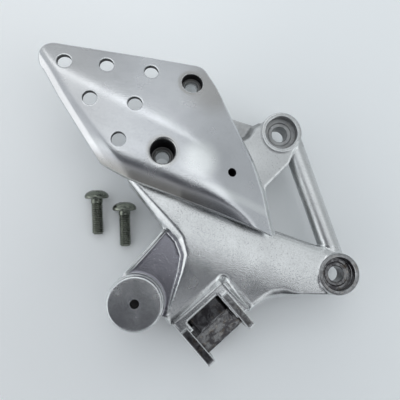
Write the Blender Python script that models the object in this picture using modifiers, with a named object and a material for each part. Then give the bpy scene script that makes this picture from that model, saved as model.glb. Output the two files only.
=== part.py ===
"""Right-hand rider's footrest hanger of a motorcycle: a cast aluminium bracket with two frame bosses,
a brake pivot boss and an empty clevis for the footrest, a heel guard bolted over it from behind, and
the two frame screws lying loose beside it. The hanger lies on its back, outer face up, on Z = 0.

Design sizes are in millimetres on a drawing plane; everything is scaled to metres as it is built.
"""

import math

import bmesh
import bpy
from mathutils import Matrix, Vector
from mathutils.geometry import delaunay_2d_cdt

MM = 0.001
GAP = 0.3  # clearance left between touching pieces
CELL = 4.5  # spacing of the points that carry a curved surface
OVERCUT = 5.0  # how far a cutter runs past the face it opens

# Levels above the table.
BACK_Z = 17.5  # back faces of the frame bosses and of the guard lugs
BOSS_TOP_Z = 36.0
ARM_TOP_Z = 33.5
SPINE_Z = (21.5, 28.0)  # lower web that runs under the heel guard
LUG_TOP_Z = 38.0
WEB_Z = 36.0
BODY_SKIN = 6.0  # thickness left over the hollows of the back
LEDGE_Z = 34.5  # ledge around the clevis

# Frame bosses.
UPPER_BOSS = (81.1, 81.0)
LOWER_BOSS = (116.6, -10.2)
BOSS_R = 13.5
COUNTERBORE_R = 10.5
COUNTERBORE_DEPTH = 6.0
FRAME_HOLE_R = 5.1

# Holes of the heel guard and the lugs below them.
GUARD_HOLES = ((21.7, 106.4), (3.9, 61.6))
GUARD_HOLE_R = 4.3
GUARD_BORES = ((6.6, 11.0), (7.3, 11.5))  # counterbore radius, boss radius
SEAT_Z = 42.0
LUG_R = 11.0
WINDOW_HOLES = ((-54.2, 114.7), (-29.9, 114.4), (-3.4, 112.1), (-38.7, 92.3), (-12.6, 90.0), (-21.7, 68.1))
WINDOW_HOLE_R = 4.5

# Screws that hold the guard from behind: the first one's tapped hole shows on the outside.
REAR_SCREWS = ((44.9, 50.2), (14.0, 84.0))
TAP_R = 2.6
REAR_POST_R = (6.0, 7.0)  # at its foot, at its top
POST_DROP = 1.5  # of a post's top below the guard's face
TAP_RUNOUT = 4.0  # of the blind tapped hole past its screw
ABOVE_Z = 75.0  # clear of everything
REAR_CLEARANCE_R = 3.3
REAR_SCREW_R = 2.3
REAR_HEAD = (5.5, 3.5)  # radius, height
REAR_REACH = 10.0

# Brake pivot boss.
PIVOT = (-11.8, -27.0)
PIVOT_DISC = (16.0, 46.0)  # radius, top
PIVOT_SHOULDER = (17.5, 39.0)
PIVOT_TUBE_R = 14.5
PIVOT_BORE = (8.5, 32.0)
PIVOT_HOLE_R = 2.7

# Rear lugs that the casting stands on.
FEET = ((80.0, -4.0), (46.0, 78.0))
FOOT_R = 7.0
FOOT_TOP_Z = 27.0  # inside the casting
FOOT_BORE = (3.0, 12.0)

# Clevis: along its ears runs AXIS_E, along its pin AXIS_P, both from the middle of its inner step.
CLEVIS = (27.0, -28.1)
AXIS_P = (0.752, 0.659)
AXIS_E = (0.659, -0.752)
LEFT_EAR, RIGHT_EAR = (-20.0, -14.7), (13.4, 18.4)  # faces across the pin
EAR_START, EAR_END = 6.7, 31.7
EAR_FOOT_Z, EAR_TOP_Z = 4.5, 35.8
PIN_HOLE = (24.5, 24.5, 4.1)  # along the ears, height, radius

# Strut between the frame bosses.
STRUT_R = 6.8
STRUT_Z = 26.3

# Frame screws, lying loose.
SCREW_HEAD_R = 8.0
SCREW_HEAD_H = 5.8
SCREW_R = 3.95
SCREW_LENGTH = 24.0
SCREW_RIM_H = 1.2  # height of the head's widest point above its seat
TIP_CHAMFER = 0.9
SOCKET = (2.9, 3.2)  # half the key width, depth
SCREW_PLACES = {"frame_screw_upper": ((-39.5, 39.9), 2.2), "frame_screw_lower": ((-20.9, 32.0), 2.0)}


def clear_scene():
    for obj in list(bpy.data.objects):
        bpy.data.objects.remove(obj, do_unlink=True)


def new_collection(name):
    group = bpy.data.collections.new(name)
    bpy.context.scene.collection.children.link(group)
    return group


def metal(name, colour, roughness):
    material = bpy.data.materials.new(name)
    material.use_nodes = True
    shader = material.node_tree.nodes["Principled BSDF"]
    shader.inputs["Base Color"].default_value = (*colour, 1.0)
    shader.inputs["Roughness"].default_value = roughness
    shader.inputs["Metallic"].default_value = 1.0
    return material


# ---- flat geometry -------------------------------------------------------------------------------


def rounded(corners, step=30.0):
    """Outline from (x, y, radius) corners: each radius becomes an arc, one point for every `step` degrees."""
    points = []
    count = len(corners)
    for i, (x, y, radius) in enumerate(corners):
        here = Vector((x, y))
        before = (Vector(corners[i - 1][:2]) - here).normalized()
        after = (Vector(corners[(i + 1) % count][:2]) - here).normalized()
        if not radius:
            points.append(here)
            continue
        half = before.angle(after) / 2
        centre = here + (before + after).normalized() * radius / math.sin(half)
        first = here + before * radius / math.tan(half) - centre
        turn = first.angle_signed(here + after * radius / math.tan(half) - centre)
        parts = max(2, round(abs(math.degrees(turn)) / step))
        for k in range(parts + 1):
            points.append(centre + Matrix.Rotation(-turn * k / parts, 2) @ first)
    return points


def divided(outline, spacing):
    """The same outline with no side longer than the spacing."""
    points = []
    for start, end in zip(outline, outline[1:] + outline[:1]):
        parts = max(1, math.ceil((end - start).length / spacing))
        points += [start.lerp(end, k / parts) for k in range(parts)]
    return points


def on_circle(centre, radius, count=24):
    angles = [math.tau * k / count for k in range(count)]
    return [(centre[0] + radius * math.cos(a), centre[1] + radius * math.sin(a)) for a in angles]


def to_line(point, line, closed=False):
    """Signed distance from a point to a line of points, positive on the line's left."""
    best, side = math.inf, 1.0
    pairs = zip(line, line[1:] + line[:1]) if closed else zip(line, line[1:])
    for start, end in pairs:
        along = end - start
        share = min(1.0, max(0.0, (point - start).dot(along) / along.length_squared))
        away = point - start - along * share
        if away.length < best - 1e-6:
            best = away.length
            side = 1.0 if along.cross(point - start) >= 0 else -1.0
    return best * side


def roll(distance, radius):
    """How far a quarter-round edge has fallen at a distance from it."""
    inside = min(max(distance, 0.0), radius)
    return radius - math.sqrt(radius**2 - (radius - inside) ** 2)


def soft_min(values, softness):
    low = min(values)
    return low - softness * math.log(sum(math.exp((low - v) / softness) for v in values))


def plane(*corners):
    """Height function of the plane through three (x, y, z) points."""
    a, b, c = (Vector(corner) for corner in corners)
    normal = (b - a).cross(c - a)
    return lambda x, y: a.z - (normal.x * (x - a.x) + normal.y * (y - a.y)) / normal.z


# ---- solids --------------------------------------------------------------------------------------


def add_object(name, mesh, group):
    obj = bpy.data.objects.new(name, mesh)
    group.objects.link(obj)
    if group is CUTTERS:
        obj.hide_render = True
        obj.display_type = "WIRE"
    return obj


def finish_mesh(name, bm, group):
    bmesh.ops.recalc_face_normals(bm, faces=bm.faces)
    mesh = bpy.data.meshes.new(name)
    bm.to_mesh(mesh)
    bm.free()
    return add_object(name, mesh, group)


def relief(name, outline, top, bottom, group, cell=CELL, rings=(), creases=()):
    """Closed solid over an outline whose two faces follow the height functions `top` and `bottom`."""
    outline = divided(outline, 1.6 * cell)
    points = list(outline)
    edges = [(i, (i + 1) % len(outline)) for i in range(len(outline))]
    for line in creases:
        edges += [(len(points) + i, len(points) + i + 1) for i in range(len(line) - 1)]
        points += line
    fixed = list(points)
    for ring in rings:
        for start, end in zip(outline, outline[1:] + outline[:1]):
            inward = Vector((start.y - end.y, end.x - start.x)).normalized() * ring
            parts = max(1, round((end - start).length / cell))
            for k in range(parts):
                point = start.lerp(end, (k + 0.5) / parts) + inward
                if to_line(point, outline, True) > 0.95 * ring and clear_of(point, fixed, 0.3 * cell):
                    points.append(point)
    margin = max(rings, default=0.0) + 0.6 * cell
    xs, ys = [p.x for p in outline], [p.y for p in outline]
    row_step = cell * math.sqrt(0.75)
    for row in range(int((max(ys) - min(ys)) / row_step) + 1):
        for column in range(int((max(xs) - min(xs)) / cell) + 1):
            point = Vector((min(xs) + (column + 0.5 * (row % 2)) * cell, min(ys) + row * row_step))
            if to_line(point, outline, True) > margin and clear_of(point, fixed, 0.6 * cell):
                points.append(point)
    flat, _, faces, *_ = delaunay_2d_cdt(points, edges, [list(range(len(outline)))], 1, 1e-5)
    bm = bmesh.new()
    upper = [bm.verts.new((p.x * MM, p.y * MM, top(p.x, p.y) * MM)) for p in flat]
    lower = [bm.verts.new((p.x * MM, p.y * MM, bottom(p.x, p.y) * MM)) for p in flat]
    sides = {}
    for face in faces:
        bm.faces.new([upper[i] for i in face])
        bm.faces.new([lower[i] for i in reversed(face)])
        for i, j in zip(face, face[1:] + face[:1]):
            sides[i, j] = (j, i) not in sides
            if not sides[i, j]:
                sides[j, i] = False
    for (i, j), open_side in sides.items():
        if open_side:
            bm.faces.new((upper[j], upper[i], lower[i], lower[j]))
    return finish_mesh(name, bm, group)


def clear_of(point, others, distance):
    return all((point - other).length > distance for other in others)


def prism(name, outline, low, high, group):
    """Straight extrusion of an outline between two levels, made from a filled curve."""
    curve = bpy.data.curves.new(name, "CURVE")
    curve.dimensions = "2D"
    curve.fill_mode = "BOTH"
    curve.extrude = (high - low) / 2 * MM
    spline = curve.splines.new("POLY")
    spline.points.add(len(outline) - 1)
    for knot, point in zip(spline.points, outline):
        knot.co = (point[0] * MM, point[1] * MM, 0.0, 1.0)
    spline.use_cyclic_u = True
    guide = bpy.data.objects.new(name + "_guide", curve)
    bpy.context.scene.collection.objects.link(guide)
    mesh = bpy.data.meshes.new_from_object(guide.evaluated_get(bpy.context.evaluated_depsgraph_get()))
    bpy.data.objects.remove(guide)
    mesh.transform(Matrix.Translation((0.0, 0.0, (low + high) / 2 * MM)))
    bm = bmesh.new()
    bm.from_mesh(mesh)
    bmesh.ops.remove_doubles(bm, verts=bm.verts, dist=1e-6)
    return finish_mesh(name, bm, group)


def cylinder(name, place, low, high, radius, group, top_radius=None, segments=32):
    bm = bmesh.new()
    bmesh.ops.create_cone(
        bm,
        cap_ends=True,
        segments=segments,
        radius1=radius * MM,
        radius2=(radius if top_radius is None else top_radius) * MM,
        depth=(high - low) * MM,
        matrix=Matrix.Translation((place[0] * MM, place[1] * MM, (low + high) / 2 * MM)),
    )
    return finish_mesh(name, bm, group)


def boolean(obj, tools, operation):
    for tool in tools:
        modifier = obj.modifiers.new(f"{operation.lower()} {tool.name}", "BOOLEAN")
        modifier.operation = operation
        modifier.object = tool
        modifier.solver = "EXACT"


def smooth(obj):
    obj.data.shade_smooth()
    obj.data.set_sharp_from_angle(angle=math.radians(35))


# ---- hanger bracket ------------------------------------------------------------------------------


def clevis_point(along_pin, along_ear):
    """Drawing-plane point at these distances from the clevis's middle."""
    return Vector(
        (
            CLEVIS[0] + AXIS_P[0] * along_pin + AXIS_E[0] * along_ear,
            CLEVIS[1] + AXIS_P[1] * along_pin + AXIS_E[1] * along_ear,
        )
    )


def path(*points):
    return [Vector(point) for point in points]


# Foot of the bright band between the recessed web and the body, from the clevis up to the guard.
BAND_FOOT = path((6, -40), (10.6, -22.4), (14.4, -8.4), (16, 1.7), (12.8, 10.3), (5.6, 18.2), (-19, 44))
BAND_RISE = 1.75
RIM_LINE = path((-17.1, 46.7), (-0.9, 27), (4.7, 17.8), (-3.1, 8.5), (-21.6, -12))
RIM = (2.4, 2.4)  # width, height above the web
CHEVRON_FOOT = [clevis_point(-22, -0.8), clevis_point(20.4, -0.8), clevis_point(20.4, 26)]
CHEVRON_RISE = 1.3  # slope of the collar round the clevis
CHEVRON_STEP = 1.0  # of the collar's foot above the ledge
CROWN_Z = 45.0  # highest level of the body
CROWN_FALL = (15.0, 0.11)  # where the body starts to fall towards the lower boss, its slope
CROWN_CURVE = 0.0018  # fall towards the clevis, for the square of the distance from the guard
BODY_EDGE_R = 4.0

# Hollows of the casting's back: the outline of each, with corner radii.
BODY_POCKETS = {
    "body": (
        (17, -15, 1.2),
        (25, -8, 0),
        (37, 2, 4),
        (41, 0, 3),
        (41, 25, 3),
        (8, 36, 3),
        (24, 14, 3),
        (25, 0, 3),
    ),
    "arm": ((45, -4, 3), (65, -21.5, 3), (71, -19, 3), (71, 14, 3), (45, 24, 3)),
    "boss_arm": ((88, -18, 3), (100, -19, 3), (102, 4, 3), (88, 8.5, 3)),
}
WEB_POCKET = ((-9, -5, 2), (6, -15, 2), (9, -3, 2), (9, 4, 2), (5, 11, 2))
ARM_POCKET = ((61, 44, 3), (67, 48, 3), (80, 62, 3), (76, 66, 3), (66, 74, 3), (60, 66, 3))


def seam_distance(x, y):
    """Distance from the guard's lower edge, towards the clevis."""
    start, end = GUARD_SEAM[1], GUARD_SEAM[-1]
    along = (end - start).normalized()
    return (Vector((x, y)) - start).dot(Vector((along.y, -along.x)))


def body_crown(x, y):
    """Crowned face of the casting, falling to the lower frame boss and towards the clevis."""
    start, slope = CROWN_FALL
    return CROWN_Z - slope * max(x - start, 0.0) - CROWN_CURVE * max(seam_distance(x, y), 0.0) ** 2


def casting_outline():
    return rounded(
        [
            (*clevis_point(-22, -0.8), 0),
            (*clevis_point(20.4, -0.8), 1.5),
            (*clevis_point(20.4, 25), 1),
            (*clevis_point(24, 25), 2),
            (69.2, -26.3, 20),
            (92.5, -22.9, 0),
            (114, -23.6, 0),
            (126, -10, 0),
            (118, 3.4, 0),
            (104.1, 8.3, 0),
            (77.5, 17, 4),
            (66, 20, 0),
            (27, 35, 0),
            (6, 42.5, 0),
            (-14, 50.5, 1),
            (-18, 48, 1),
            (-0.9, 27, 0),
            (5.2, 17.8, 2.5),
            (-3.1, 8.5, 0),
            (-27, -18, 0),
            (-12, -30, 0),
            (2.8, -34.6, 0),
            (6.4, -36.4, 0),
        ]
    )


def casting_top(outline):
    def height(x, y):
        point = Vector((x, y))
        beyond_band = -to_line(point, BAND_FOOT)
        edge = to_line(point, outline, True)
        if beyond_band <= 0:
            width, rise = RIM
            share = max(0.0, 1.0 - abs(to_line(point, RIM_LINE)) / width)
            return WEB_Z + rise * min(1.0, 2.0 * share)
        band = WEB_Z + BAND_RISE * beyond_band
        chevron = LEDGE_Z + CHEVRON_STEP + CHEVRON_RISE * abs(to_line(point, CHEVRON_FOOT))
        rounded_edge = body_crown(x, y) - roll(edge, BODY_EDGE_R)
        return soft_min((band, chevron, rounded_edge), 0.35)

    return height


def casting():
    outline = casting_outline()
    height = casting_top(outline)
    creases = [[point for point in BAND_FOOT if to_line(point, outline, True) > 1.0]]
    return relief(
        "hanger_bracket", outline, height, lambda x, y: BACK_Z, PARTS, rings=(1.2, 4.0), creases=creases
    )


def pockets():
    """Hollows of the casting's back, with ribs left between them."""
    made = []
    for name, corners in BODY_POCKETS.items():
        made.append(
            relief(
                f"pocket_{name}",
                rounded(corners, 45),
                lambda x, y: body_crown(x, y) - BODY_SKIN,
                lambda x, y: BACK_Z - OVERCUT,
                CUTTERS,
                cell=12,
            )
        )
    made.append(prism("pocket_web", rounded(WEB_POCKET, 45), BACK_Z - OVERCUT, WEB_Z - BODY_SKIN, CUTTERS))
    return made


def frame_arm():
    """Flat arm from the body to the upper frame boss."""
    corners = (
        (52, 62, 0),
        (57, 22, 0),
        (67, 17, 0),
        (71, 30, 0),
        (70.5, 45.3, 3),
        (85.9, 60.6, 2),
        (92, 74, 0),
        (81, 88, 0),
        (68, 88, 0),
        (63.5, 85.5, 0),
        (58, 77.5, 2.5),
    )
    return prism("frame_arm", rounded(corners), BACK_Z, ARM_TOP_Z, CUTTERS)


def spine():
    """Lower web under the heel guard, joining the guard's lugs to the body and the upper boss."""
    corners = (
        (-8, 47, 3),
        (20, 32, 0),
        (62, 16, 0),
        (68, 60, 0),
        (72, 84, 0),
        (65.5, 86.5, 2),
        (49, 91.5, 3),
        (31, 114, 4),
        (12, 111, 3),
        (-6.5, 66, 5),
    )
    return prism("spine", rounded(corners), *SPINE_Z, CUTTERS)


def strut():
    """Round bar between the two frame bosses."""
    start, end = Vector((*UPPER_BOSS, STRUT_Z)), Vector((*LOWER_BOSS, STRUT_Z))
    start.x += 7.5
    end.x += 3.0
    bar = cylinder("strut", (0, 0), 0, (end - start).length, STRUT_R, CUTTERS, segments=20)
    turn = (end - start).to_track_quat("Z", "Y").to_matrix().to_4x4()
    bar.data.transform(Matrix.Translation(start * MM) @ turn)
    return bar


def clevis_profile(name, sides, outline):
    """Solid between two planes across the pin, with its outline given along the ears and in height."""
    solid = prism(name, outline, *sides, CUTTERS)
    along_ear = Vector((*AXIS_E, 0.0))
    along_pin = Vector((*AXIS_P, 0.0))
    turn = Matrix((along_ear, Vector((0, 0, 1)), along_pin)).transposed().to_4x4()
    solid.data.transform(Matrix.Translation((CLEVIS[0] * MM, CLEVIS[1] * MM, 0.0)) @ turn)
    bm = bmesh.new()
    bm.from_mesh(solid.data)
    bmesh.ops.recalc_face_normals(bm, faces=bm.faces)
    bm.to_mesh(solid.data)
    bm.free()
    return solid


def clevis():
    """Block, sloping floor with its stop pad, and the two ears."""
    ear = rounded(
        (
            (-4, 9, 0),
            (8, EAR_FOOT_Z, 3),
            (26, EAR_FOOT_Z, 5),
            (EAR_END, 14, 6),
            (EAR_END, EAR_TOP_Z, 1.2),
            (EAR_START, EAR_TOP_Z, 0),
            (EAR_START - 0.4, LEDGE_Z, 0),
            (-4, LEDGE_Z, 0),
        )
    )
    block = ((-9, 9), (4.5, 9), (4.5, LEDGE_Z - 3), (2.5, LEDGE_Z), (-9, LEDGE_Z))
    floor = ((0, 10), (24, 6), (30.5, 8.5), (31.5, 11.5), (17, 20.5), (0, 20.5))
    pad = ((0, 17), (17, 17), (17, 21.2), (15.6, 23.6), (3, 25), (0, 25))
    return [
        clevis_profile("clevis_block", (LEFT_EAR[0] + 0.4, 21.5), block),
        clevis_profile("clevis_ear_left", LEFT_EAR, ear),
        clevis_profile("clevis_ear_right", RIGHT_EAR, ear),
        clevis_profile("clevis_floor", (LEFT_EAR[1] - 1, RIGHT_EAR[0] + 1), floor),
        clevis_profile("clevis_pad", (-10.7, 11.0), pad),
    ]


def pin_bore():
    along, height, radius = PIN_HOLE
    circle = on_circle((along, height), radius)
    return clevis_profile("pin_bore", (LEFT_EAR[0] - 8, RIGHT_EAR[1] + 8), circle)


def drilled(name, place, low, high, radius, segments=24):
    return cylinder(name, place, low, high, radius, CUTTERS, segments=segments)


def hanger_bracket():
    bracket = casting()
    joined = [frame_arm(), spine(), strut(), *clevis()]
    joined += [
        cylinder("upper_boss", UPPER_BOSS, BACK_Z, BOSS_TOP_Z, BOSS_R, CUTTERS, segments=40),
        cylinder("lower_boss", LOWER_BOSS, BACK_Z, BOSS_TOP_Z, BOSS_R, CUTTERS, segments=40),
        cylinder("pivot_shoulder", PIVOT, BACK_Z, PIVOT_SHOULDER[1], PIVOT_SHOULDER[0], CUTTERS, segments=48),
        cylinder("pivot_disc", PIVOT, BACK_Z + 1, PIVOT_DISC[1], PIVOT_DISC[0], CUTTERS, segments=48),
        cylinder("pivot_tube", PIVOT, 0, BACK_Z + 2, PIVOT_TUBE_R, CUTTERS, segments=40),
    ]
    for number, place in enumerate(GUARD_HOLES):
        joined.append(cylinder(f"lug_{number}", place, BACK_Z, LUG_TOP_Z, LUG_R, CUTTERS, LUG_R - 1.5))
    joined += [cylinder(f"foot_{n}", place, 0, FOOT_TOP_Z, FOOT_R, CUTTERS) for n, place in enumerate(FEET)]
    boolean(bracket, pockets(), "DIFFERENCE")
    boolean(bracket, joined, "UNION")
    hollow = prism("arm_hollow", rounded(ARM_POCKET, 45), BACK_Z - OVERCUT, ARM_TOP_Z - BODY_SKIN, CUTTERS)
    cuts = [pin_bore(), hollow]
    floor = BOSS_TOP_Z - COUNTERBORE_DEPTH
    for name, place in (("upper", UPPER_BOSS), ("lower", LOWER_BOSS)):
        cuts.append(drilled(f"{name}_counterbore", place, floor, BOSS_TOP_Z + OVERCUT, COUNTERBORE_R, 40))
        cuts.append(drilled(f"{name}_frame_hole", place, BACK_Z - OVERCUT, floor + 1, FRAME_HOLE_R, 28))
    for number, place in enumerate(GUARD_HOLES):
        cuts.append(drilled(f"lug_hole_{number}", place, BACK_Z - OVERCUT, LUG_TOP_Z + OVERCUT, GUARD_HOLE_R))
    for number, place in enumerate(REAR_SCREWS):
        low, high = SPINE_Z[0] - OVERCUT, SPINE_Z[1] + OVERCUT
        cuts.append(drilled(f"rear_hole_{number}", place, low, high, REAR_CLEARANCE_R))
    for number, place in enumerate(FEET):
        cuts.append(drilled(f"foot_bore_{number}", place, -OVERCUT, FOOT_BORE[1], FOOT_BORE[0], 20))
    cuts.append(drilled("pivot_bore", PIVOT, -OVERCUT, PIVOT_BORE[1], PIVOT_BORE[0], 32))
    cuts.append(drilled("pivot_hole", PIVOT, PIVOT_BORE[1] - 1, PIVOT_DISC[1] + OVERCUT, PIVOT_HOLE_R, 20))
    boolean(bracket, cuts, "DIFFERENCE")
    bracket.data.materials.append(metal("cast_aluminium", (0.62, 0.64, 0.66), 0.42))
    return bracket


# ---- heel guard ----------------------------------------------------------------------------------

GUARD_SKIN = 3.8  # measured straight down
LIP_HEIGHT = 7.0  # of the guard's edge above the body it stops at
GUARD_LEFT = path((-71.3, 120.6), (-65.4, 109.4), (-57, 93.6), (-42, 69.5), (-34.5, 58))
GUARD_RIGHT = path((75, 13), (68, 40), (60, 59.2), (46.4, 84.4), (41, 96))
GUARD_SEAM = path((-30, 51.8), (-16.8, 46.3), (5.7, 38), (73.5, 12.5))
SEATED = 7.0  # width of the guard's lower edge that lies on the body
UPPER_STRIP = plane((-42.4, 101.4, 61.8), (28.2, 65.7, 61.8), (21.7, 106.4, 51.8))
PLATEAU = plane((-42.4, 101.4, 61.6), (28.2, 65.7, 62.0), (3.9, 61.6, 62.3))
RIGHT_SLOPE = plane((46.4, 84.4, 53.0), (73.5, 14.0, 45.0), (44.9, 50.2, 60.0))
LEFT_BAND = (3.2, 0.6)  # width of the steep band along the left edge, its slope over the shoulder's
SHOULDER = (8.0, 0.36)  # width, slope
RIGHT_BAND = (2.4, 1.0)  # width, slope
LOWER_ROLL = (20.0, 0.4, 10.0)  # where it starts, the slope it settles to, where it turns down


def guard_outline():
    return rounded(
        [
            (74.2, 11.9, 1.6),
            (68.2, 40.2, 0),
            (60.2, 59.4, 0),
            (46.4, 84.4, 0),
            (36.6, 105.5, 8),
            (28.5, 118.8, 8),
            (-10.4, 122.6, 0),
            (-56.3, 126.3, 0),
            (-75.2, 127.9, 5.1),
            (-65.6, 109.6, 0),
            (-57.2, 93.8, 0),
            (-42.2, 69.7, 0),
            (-32.6, 55, 8),
            (-16.8, 46.3, 20),
            (5.7, 38, 0),
        ]
    )


def lower_roll(distance):
    """Share of the drop to the lip: a gentle slope that turns down as it nears the seam."""
    start, slope, turn = LOWER_ROLL
    gentle = slope * max(start - distance, 0.0) / start
    steep = (max(turn - distance, 0.0) / turn) ** 2
    return min(1.0, gentle + (1.0 - slope) * steep)


def guard_top(x, y):
    """Outer face: upper strip and plateau meet in a ridge, and it falls off on the other sides."""
    point = Vector((x, y))
    upper = soft_min((UPPER_STRIP(x, y), PLATEAU(x, y)), 0.5)
    form = soft_min((upper, RIGHT_SLOPE(x, y)), 2.5)
    from_left = abs(to_line(point, GUARD_LEFT))
    for width, slope in (SHOULDER, LEFT_BAND):
        form -= slope * max(width - from_left, 0.0)
    width, slope = RIGHT_BAND
    form -= slope * max(width - abs(to_line(point, GUARD_RIGHT)), 0.0)
    lip = body_crown(x, y) + LIP_HEIGHT
    return form - max(form - lip, 0.0) * lower_roll(max(to_line(point, GUARD_SEAM), 0.0))


def guard_bottom(x, y):
    inner = guard_top(x, y) - GUARD_SKIN
    if seam_distance(x, y) > -SEATED:
        return max(inner, body_crown(x, y) + GAP)
    return inner


def lowest_around(place, radius):
    """Lowest level of the guard's face on a circle."""
    return min(guard_top(x, y) for x, y in on_circle(place, radius))


def heel_guard():
    guard = relief("heel_guard", guard_outline(), guard_top, guard_bottom, PARTS, rings=(3.2, 8.0))
    bosses = []
    cuts = []
    for number, (place, (bore_r, boss_r)) in enumerate(zip(GUARD_HOLES, GUARD_BORES)):
        level = lowest_around(place, boss_r) - POST_DROP
        low = LUG_TOP_Z + GAP
        bosses.append(cylinder(f"guard_boss_{number}", place, low, level, boss_r - 1.2, CUTTERS, boss_r))
        cuts.append(drilled(f"guard_bore_{number}", place, SEAT_Z, ABOVE_Z, bore_r, 32))
        cuts.append(drilled(f"guard_hole_{number}", place, low - OVERCUT, SEAT_Z + 1, GUARD_HOLE_R))
    for number, place in enumerate(REAR_SCREWS):
        foot_r, top_r = REAR_POST_R
        level = lowest_around(place, top_r) - POST_DROP
        low = SPINE_Z[1] + GAP
        bosses.append(cylinder(f"rear_post_{number}", place, low, level, foot_r, CUTTERS, top_r))
        reach = ABOVE_Z if number == 0 else SPINE_Z[1] + REAR_REACH + TAP_RUNOUT
        cuts.append(drilled(f"rear_tap_{number}", place, low - OVERCUT, reach, TAP_R, 20))
    for number, place in enumerate(WINDOW_HOLES):
        cuts.append(drilled(f"window_{number}", place, LUG_TOP_Z, ABOVE_Z, WINDOW_HOLE_R, 28))
    boolean(guard, bosses, "UNION")
    boolean(guard, cuts, "DIFFERENCE")
    guard.data.materials.append(metal("satin_aluminium", (0.60, 0.62, 0.66), 0.36))
    return guard


# ---- screws --------------------------------------------------------------------------------------


def turned(name, profile, group, segments=32):
    """Solid of revolution about Z from (radius, height) points, outer side top to bottom."""
    mesh = bpy.data.meshes.new(name)
    points = [(radius * MM, 0.0, height * MM) for radius, height in profile]
    mesh.from_pydata(points, [(i, i + 1) for i in range(len(points) - 1)], [])
    obj = add_object(name, mesh, group)
    screw = obj.modifiers.new("turn", "SCREW")
    screw.steps = segments
    screw.render_steps = segments
    screw.use_merge_vertices = True
    screw.merge_threshold = 1e-5
    screw.use_normal_calculate = True
    return obj


def dome(radius, low, high, steps=5):
    """Points over a domed head, from the axis out to its rim."""
    rise = high - low
    return [
        (radius * math.sin(k * math.pi / 2 / steps), low + rise * math.cos(k * math.pi / 2 / steps))
        for k in range(steps + 1)
    ]


def hex_socket(name, width, low, high):
    return cylinder(name, (0, 0), low, high, width / math.cos(math.pi / 6), CUTTERS, segments=6)


def frame_screw(name, place, swing):
    """Dome-headed screw lying on its head's rim and its tip, head towards +Y."""
    tip_r = SCREW_R - TIP_CHAMFER
    profile = dome(SCREW_HEAD_R, SCREW_RIM_H, SCREW_HEAD_H)
    profile += [(SCREW_HEAD_R - 0.4, 0.3), (SCREW_HEAD_R - 1.0, 0.0), (SCREW_R, 0.0)]
    profile += [(SCREW_R, -SCREW_LENGTH + TIP_CHAMFER), (tip_r, -SCREW_LENGTH), (0.0, -SCREW_LENGTH)]
    screw = turned(name, profile, PARTS)
    socket = hex_socket(name + "_socket", SOCKET[0], SCREW_HEAD_H - SOCKET[1], SCREW_HEAD_H + 3)
    tilt = math.atan2(SCREW_HEAD_R - SCREW_R, SCREW_LENGTH - TIP_CHAMFER + SCREW_RIM_H)
    lift = SCREW_HEAD_R * math.cos(tilt) - SCREW_RIM_H * math.sin(tilt)
    turn = Matrix.Rotation(math.radians(swing), 4, "Z") @ Matrix.Rotation(-math.pi / 2 + tilt, 4, "X")
    location = Matrix.Translation((place[0] * MM, place[1] * MM, lift * MM))
    screw.matrix_world = location @ turn
    socket.matrix_world = screw.matrix_world
    boolean(screw, [socket], "DIFFERENCE")
    screw.data.materials.append(metal(name + "_zinc", (0.33, 0.35, 0.31), 0.34))
    return screw


def rear_screw(name, place):
    """Pan-headed screw up through the spine into the guard's post."""
    radius, height = REAR_HEAD
    top = SPINE_Z[0] - GAP
    profile = [(0.0, REAR_REACH + SPINE_Z[1] - top), (REAR_SCREW_R - 0.4, REAR_REACH + SPINE_Z[1] - top)]
    profile += [(REAR_SCREW_R, REAR_REACH + SPINE_Z[1] - top - 0.5), (REAR_SCREW_R, 0.0), (radius, 0.0)]
    profile += [(radius, -height + 1.2), (radius - 1.2, -height), (0.0, -height)]
    screw = turned(name, profile, PARTS, 24)
    socket = hex_socket(name + "_socket", 2.0, -height - 3, -height + 2.0)
    screw.location = (place[0] * MM, place[1] * MM, top * MM)
    socket.location = screw.location
    boolean(screw, [socket], "DIFFERENCE")
    screw.data.materials.append(metal(name + "_zinc", (0.40, 0.41, 0.40), 0.35))
    return screw


def centre_on_footprint(parts):
    """Moves everything so that the origin is the middle of the footprint, on the table."""
    bpy.context.view_layer.update()
    graph = bpy.context.evaluated_depsgraph_get()
    corners = []
    for obj in parts:
        shape = obj.evaluated_get(graph)
        corners += [shape.matrix_world @ vertex.co for vertex in shape.data.vertices]
    middle = [(min(c[i] for c in corners) + max(c[i] for c in corners)) / 2 for i in range(2)]
    low = min(c.z for c in corners)
    frame = bpy.data.objects.new("hanger_frame", None)
    PARTS.objects.link(frame)
    for obj in [*PARTS.objects, *CUTTERS.objects]:
        if obj is not frame:
            obj.parent = frame
    frame.location = (-middle[0], -middle[1], -low)


clear_scene()
PARTS = new_collection("footrest_hanger")
CUTTERS = new_collection("cutters")
CUTTERS.hide_render = True
pieces = [hanger_bracket(), heel_guard()]
pieces += [frame_screw(name, place, swing) for name, (place, swing) in SCREW_PLACES.items()]
pieces += [rear_screw(f"guard_screw_{number + 1}", place) for number, place in enumerate(REAR_SCREWS)]
for piece in pieces:
    smooth(piece)
centre_on_footprint(pieces)
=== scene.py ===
"""Looks of the right-hand footrest hanger: a fine cast bracket, its heel guard and the loose screws.

Shapes are worked out on the same drawing plane as the CAD model, in millimetres. The plane is placed in the
frame by the first rear guard screw, whose axis both models share.
"""

import math

import bmesh
import bpy
import numpy as np
from mathutils import Matrix, Vector
from mathutils.geometry import delaunay_2d_cdt


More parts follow.
